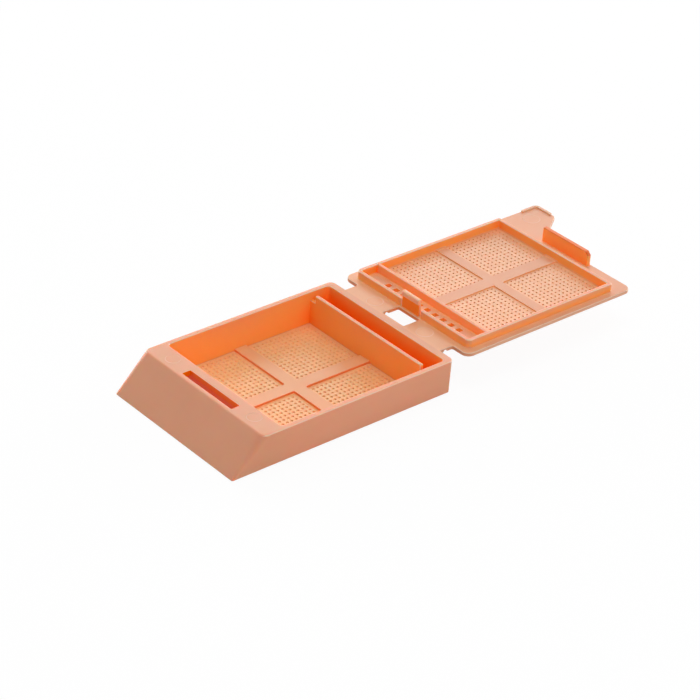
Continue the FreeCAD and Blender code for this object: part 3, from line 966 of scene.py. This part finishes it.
# %% Flow tint
def flow_tint():
    """Slow drift between two tones, drawn out along the way the melt ran."""
    tree, given, made = effect(
        "flow tint",
        [("Tone", "Color", (0.8, 0.4, 0.25, 1)), ("Other Tone", "Color", (0.8, 0.4, 0.25, 1)),
         ("Size", "Float", 0.004), ("Draw", "Vector", (0.35, 1, 1))],
        [("Color", "Color")])
    drawn = vector_maths(tree, "MULTIPLY", place_on_piece(tree), given["Draw"])
    share = noise(tree, given["Size"], drawn, 4.0)
    tree.links.new(mixed(tree, share, given["Tone"], given["Other Tone"]), made["Color"])
    return tree


TINT = flow_tint()

# %% [markdown]
# ## Painted trapped light
# Inside the tray, light passes from wall to wall, and each time the dye takes more of its blue and green.
# Bounces alone show too little of that, so it is painted into the base colour as painted glow and painted
# shade. The Ambient Occlusion node, kept to the piece itself, tells how much of a face's view is closed
# off. That share and the mark for painted glow and shade choose between three tones: the first half of the
# mark leads from the open tone to the cavity's, and the second half on to the slot's.

# %% Painted trapped light
SLOT_ONSET, SLOT_FULL = 0.5, 0.85


def painted_trapped_light():
    """Painted glow and shade: a deeper tone on faces that look at other faces of the same piece, and
    deeper still in slots.
    """
    tree, given, made = effect(
        "painted trapped light",
        [("Tone", "Color", (0.9, 0.4, 0.25, 1)), ("Cavity Tone", "Color", (0.9, 0.3, 0.08, 1)),
         ("Slot Tone", "Color", (0.9, 0.3, 0.08, 1)), ("Onset", "Float", 0.1),
         ("Full", "Float", 0.3), ("Reach", "Float", 0.012)],
        [("Color", "Color")])
    shade = tree.nodes.new("ShaderNodeAmbientOcclusion")
    shade.samples = 8
    shade.only_local = True
    tree.links.new(given["Reach"], shade.inputs["Distance"])
    closed = maths(tree, "SUBTRACT", 1.0, shade.outputs["AO"])
    twice = maths(tree, "MULTIPLY", mark_of_face(tree, GLOW_AND_SHADE_MARK), 2.0)
    first_half = maths(tree, "MINIMUM", twice, 1.0)
    in_cavity = eased(tree, closed, given["Onset"], given["Full"])
    cavity = mixed(tree, maths(tree, "MAXIMUM", in_cavity, first_half),
                   given["Tone"], given["Cavity Tone"])
    in_slot = maths(tree, "MULTIPLY", eased(tree, closed, SLOT_ONSET, SLOT_FULL),
                    maths(tree, "SUBTRACT", 1.0, first_half))
    deepest = maths(tree, "MAXIMUM", in_slot, maths(tree, "SUBTRACT", twice, 1.0))
    tree.links.new(mixed(tree, deepest, cavity, given["Slot Tone"]), made["Color"])
    return tree


PAINTED_TRAPPED = painted_trapped_light()

# %% [markdown]
# ## Painted edge highlights
# Rounded edges are painted a paler tone than the faces beside them. This is a painted highlight, standing
# in for the light that a rounded edge catches. Pointiness could find edges, but it depends on how finely
# they are divided, and the mark doesn't. Where the other mark paints a deep tone, the painted highlight
# fades.

# %% Painted edge highlights
def painted_edge_highlight():
    """A painted highlight: a paler tone along rounded edges and on marked faces."""
    tree, given, made = effect(
        "painted edge highlight",
        [("Tone", "Color", (0.9, 0.4, 0.25, 1)), ("Edge Tone", "Color", (0.9, 0.6, 0.4, 1)),
         ("Strength", "Float", 0.7)],
        [("Color", "Color")])
    share = maths(tree, "MULTIPLY", mark_of_face(tree, HIGHLIGHT_MARK), given["Strength"])
    share = maths(tree, "MULTIPLY", share, maths(tree, "SUBTRACT", 1.0, mark_of_face(tree, GLOW_AND_SHADE_MARK)))
    tree.links.new(mixed(tree, share, given["Tone"], given["Edge Tone"]), made["Color"])
    return tree


# EDGE holds the group of painted edge highlights.
EDGE = painted_edge_highlight()

# %% [markdown]
# ## Two finishes of one plastic
# The material lays the groups over each other: tint, painted trapped light, painted edge highlights, and
# the rings of five ejector marks. It is made twice. In walls, light wanders almost a millimetre, which
# gives their glow. In a thin sheet that would wash out the holes, so the sheet's finish scatters far less.
# It also has painted deep tones of its own: a painted glow on the sheet, and darker painted shade in its
# holes. Each face then takes one of the two.

# %% The acetal itself
OPEN_TONE, OTHER_TONE = (0.725, 0.335, 0.19, 1), (0.745, 0.36, 0.21, 1)
# The tone of the painted highlight on rounded edges and marked faces.
HIGHLIGHT_TONE = (0.79, 0.58, 0.43, 1)
# Tone and share of the painted highlight on the ring of each ejector mark.
RING_HIGHLIGHT_TONE, RING_HIGHLIGHT_SHARE = (0.86, 0.56, 0.42, 1), 0.55
MARK_PLACES = [(21.9, 5.6, 1.4), (22.1, -5.6, 1.4), (60.4, 11.3, 1.5),
               (-13.3, 9.6, 1.2), (-13.2, -9.3, 1.2)]
MARK_DEPTH = 0.00004


def placed(tree, group, **values):
    """A node group put into a material, with values for its inputs."""
    node = tree.nodes.new("ShaderNodeGroup")
    node.node_tree = group
    return give(node, **values)


def acetal(name, scatter, scale, cavity, slot, onset):
    """The plastic; light wanders scatter * scale metres inside it, for red, green and blue."""
    material = bpy.data.materials.new(name)
    material.use_nodes = True
    tree = material.node_tree
    shader = give(tree.nodes["Principled BSDF"], Subsurface_Weight=1.0, Subsurface_Radius=scatter,
                  Subsurface_Scale=scale, Subsurface_Anisotropy=0.0, IOR=1.48, Specular_IOR_Level=0.3)
    shader.subsurface_method = "RANDOM_WALK"
    tint = placed(tree, TINT, Tone=OPEN_TONE, Other_Tone=OTHER_TONE, Size=0.004)
    # The cavity and slot tones are painted glow and shade, and the edge tone is a painted highlight.
    trapped = placed(tree, PAINTED_TRAPPED, Cavity_Tone=cavity, Slot_Tone=slot, Onset=onset, Full=onset + 0.25)
    edge = placed(tree, EDGE, Edge_Tone=HIGHLIGHT_TONE, Strength=1.0)
    tree.links.new(tint.outputs["Color"], trapped.inputs["Tone"])
    tree.links.new(trapped.outputs["Color"], edge.inputs["Tone"])
    colour = edge.outputs["Color"]
    grain = placed(tree, GRAIN, Grain_Size=0.00012, Grain_Depth=0.0000012, Wave_Size=0.003,
                   Wave_Depth=0.000006, Gloss=0.42, Gloss_Change=0.12)
    tree.links.new(grain.outputs["Roughness"], shader.inputs["Roughness"])
    height = grain.outputs["Height"]
    for x, y, radius in MARK_PLACES:
        mark = placed(tree, MARK, Place=(x * MM, y * MM, RIM * MM), Radius=radius * MM, Depth=MARK_DEPTH)
        height = maths(tree, "ADD", height, mark.outputs["Height"])
        colour = mixed(tree, maths(tree, "MULTIPLY", mark.outputs["Ring Highlight"], RING_HIGHLIGHT_SHARE), colour, RING_HIGHLIGHT_TONE)
    tree.links.new(colour, shader.inputs["Base Color"])
    bump = give(tree.nodes.new("ShaderNodeBump"), Distance=1.0, Strength=1.0)
    tree.links.new(height, bump.inputs["Height"])
    tree.links.new(bump.outputs["Normal"], shader.inputs["Normal"])
    return material


# The cavity and slot tones are painted: a glow for light that has come through the plastic, and, in the
# sheet's darker slot tone, the shade inside its holes.
peach = acetal("acetal_peach", (1.0, 0.28, 0.14), 0.0009, (0.97, 0.42, 0.1, 1), (1.0, 0.25, 0.0, 1), 0.08)
sheet = acetal("acetal_sheet", (1.0, 0.7, 0.5), 0.0001, (1.0, 0.52, 0.24, 1), (0.8, 0.18, 0.025, 1), 0.25)
print("nodes in each finish:", len(peach.node_tree.nodes), len(sheet.node_tree.nodes))

# %% Which faces are thin sheets
def is_sheet(piece, face):
    """True for the tray's floor, the strap and film, the lid's plate and lip, and the tongue's edge."""
    x, y, z = face.center / MM
    if piece is tray:
        on_floor = z < RIB_TOP + HAIR and abs(y) < CAVITY_HALF and x > CAVITY_FRONT_X
        return z < HAIR or on_floor or x > BACK_X
    if piece is lid and z > RIM + HAIR:
        # The tongue's edge takes the sheet's darker slot tone, as painted shade.
        on_edge = x > TONGUE_X[0] - 0.1 and z > RIM + 0.5 and abs(face.normal.z) > 0.3
        return on_edge or x > TONGUE_X[1] + 0.5
    in_strip_hole = abs(x - STRIP_X) <= STRIP_HALF + 0.1 and within(z, (PLATE_LOW + 0.02, RIM - 0.02))
    return piece is film or not in_strip_hole


for piece in (tray, lid, film):
    piece.data.materials.clear()
    piece.data.materials.append(peach)
    piece.data.materials.append(sheet)
    for face in piece.data.polygons:
        face.material_index = int(is_sheet(piece, face))
    print(piece.name, "faces of thin sheet:", sum(face.material_index for face in piece.data.polygons))

# %% [markdown]
# ## Stage
# The object stands on a white floor in a white world. Enough light to make a floor white would
# bleach the object, so the white is a glow that only some rays see: those from the camera, and
# those that a glossy or a clear surface sends on. To the others the floor is matt, and its shadow
# shows a little through the glow. The world is a calm grey to them, so that the lamps give shape.

# %% White floor and world
FLOOR_GLOW = 0.94
FLOOR_HALF, FLOOR_Z = 2, -0.00003
FLOOR_WHITE, WHITE = (0.97, 0.97, 0.97, 1), (1, 1, 1, 1)
WORLD_LIGHT = 0.4


def sees_white(tree):
    """1 for a ray from the camera, or one that a glossy or clear surface sends on, and else 0."""
    ray = tree.nodes.new("ShaderNodeLightPath").outputs
    sent_on = maths(tree, "MAXIMUM", ray["Is Glossy Ray"], ray["Is Transmission Ray"])
    return maths(tree, "MAXIMUM", ray["Is Camera Ray"], sent_on)


def blended(tree, share, first, second, end):
    """Mix the shaders of two nodes by a share, and lead the mix to an end node."""
    blend = tree.nodes.new("ShaderNodeMixShader")
    for socket, value in zip(blend.inputs, (share, first.outputs[0], second.outputs[0])):
        tree.links.new(value, socket)
    tree.links.new(blend.outputs["Shader"], tree.nodes[end].inputs["Surface"])


def stage_floor():
    mesh = bpy.data.meshes.new("stage_floor")
    half = FLOOR_HALF
    corners = [(x, y, FLOOR_Z) for x, y in ((-half, -half), (half, -half), (half, half), (-half, half))]
    mesh.from_pydata(corners, [], [(0, 1, 2, 3)])
    floor = added("stage_floor", mesh)
    material = bpy.data.materials.new("stage_white")
    material.use_nodes = True
    tree = material.node_tree
    matt = give(tree.nodes["Principled BSDF"],
                Base_Color=FLOOR_WHITE, Roughness=0.9, Specular_IOR_Level=0.0)
    glow = give(tree.nodes.new("ShaderNodeEmission"), Strength=1.0)
    blended(tree, maths(tree, "MULTIPLY", sees_white(tree), FLOOR_GLOW), matt, glow, "Material Output")
    mesh.materials.append(material)
    return floor


def white_world(strength):
    world = bpy.data.worlds.new("studio")
    bpy.context.scene.world = world
    world.use_nodes = True
    tree = world.node_tree
    light = give(tree.nodes["Background"], Color=WHITE, Strength=strength)
    white = give(tree.nodes.new("ShaderNodeBackground"), Color=WHITE, Strength=1.0)
    blended(tree, sees_white(tree), light, white, "World Output")


stage_floor()
white_world(WORLD_LIGHT)
print("stage ready")

# %% [markdown]
# ## Lamps
# Square lamps stand round the object like soft boxes in a studio. A sun or point lamp would draw a
# hard shadow of each rib. The key hangs above, the sheen glances off the level faces, two lamps
# near the table light the far side and the end, and a weak fill opens the near side. Light may
# bounce 40 times, because it goes a long way in acetal.

# %% Lamps
AIM = Vector((0.02, 0, 0))
BOUNCES = 40


def soft_lamp(name, place, size, power):
    """Square area lamp at a place in metres, turned towards the middle of the object."""
    lamp = bpy.data.lights.new(name, "AREA")
    lamp.size = size
    lamp.energy = power
    holder = added(name, lamp)
    holder.location = place
    holder.rotation_euler = (AIM - Vector(place)).to_track_quat("-Z", "Y").to_euler()
    print("lamp", name, size, "m wide,", power, "W")


soft_lamp("key", (0.12, 0.12, 1.15), 0.7, 3.7)
soft_lamp("sheen", (0.75, 0.82, 0.675), 0.55, 3.6)
soft_lamp("side", (0.0, 1.0, 0.12), 0.5, 6.5)
soft_lamp("end", (1.0, 0.0, 0.12), 0.5, 6.5)
soft_lamp("fill", (-0.05, -0.7, 0.35), 0.4, 1.0)
bpy.context.scene.cycles.max_bounces = BOUNCES
bpy.context.scene.cycles.diffuse_bounces = BOUNCES

# %% [markdown]
# ## Camera
# The lens is long, about 130 mm, and looks down at 31 degrees over the label end of the tray. A
# short lens would make the far lid much smaller than the near tray, and a long one keeps them
# nearly alike. The camera is set by its turn, height and roll, because these say more to a reader
# than a matrix would.

# %% Camera
TURN = math.radians(-42.324)
RISE = math.radians(31.267)
ROLL = math.radians(4.051)
AWAY = Vector((0.009485, 0.003739, 0.36533))
MIDDLE = Vector((0, 0, 0.003))

camera = added("camera", bpy.data.cameras.new("camera"))
camera.data.lens = 128.66
camera.data.sensor_width = 36
camera.data.clip_start = 0.01
turned = (Matrix.Rotation(TURN, 3, "Z") @ Matrix.Rotation(math.pi / 2 - RISE, 3, "X")
          @ Matrix.Rotation(ROLL, 3, "Z"))
camera.matrix_world = Matrix.Translation(MIDDLE + turned @ AWAY) @ turned.to_4x4()
bpy.context.scene.camera = camera
print("camera at", [round(value, 4) for value in camera.matrix_world.translation])

# %% [markdown]
# ## Colours
# Blender's default view bends colours as film does, which greys a bright plastic. The Standard view
# shows them as they are written.

# %% Colours are shown as they are
bpy.context.scene.view_settings.view_transform = "Standard"
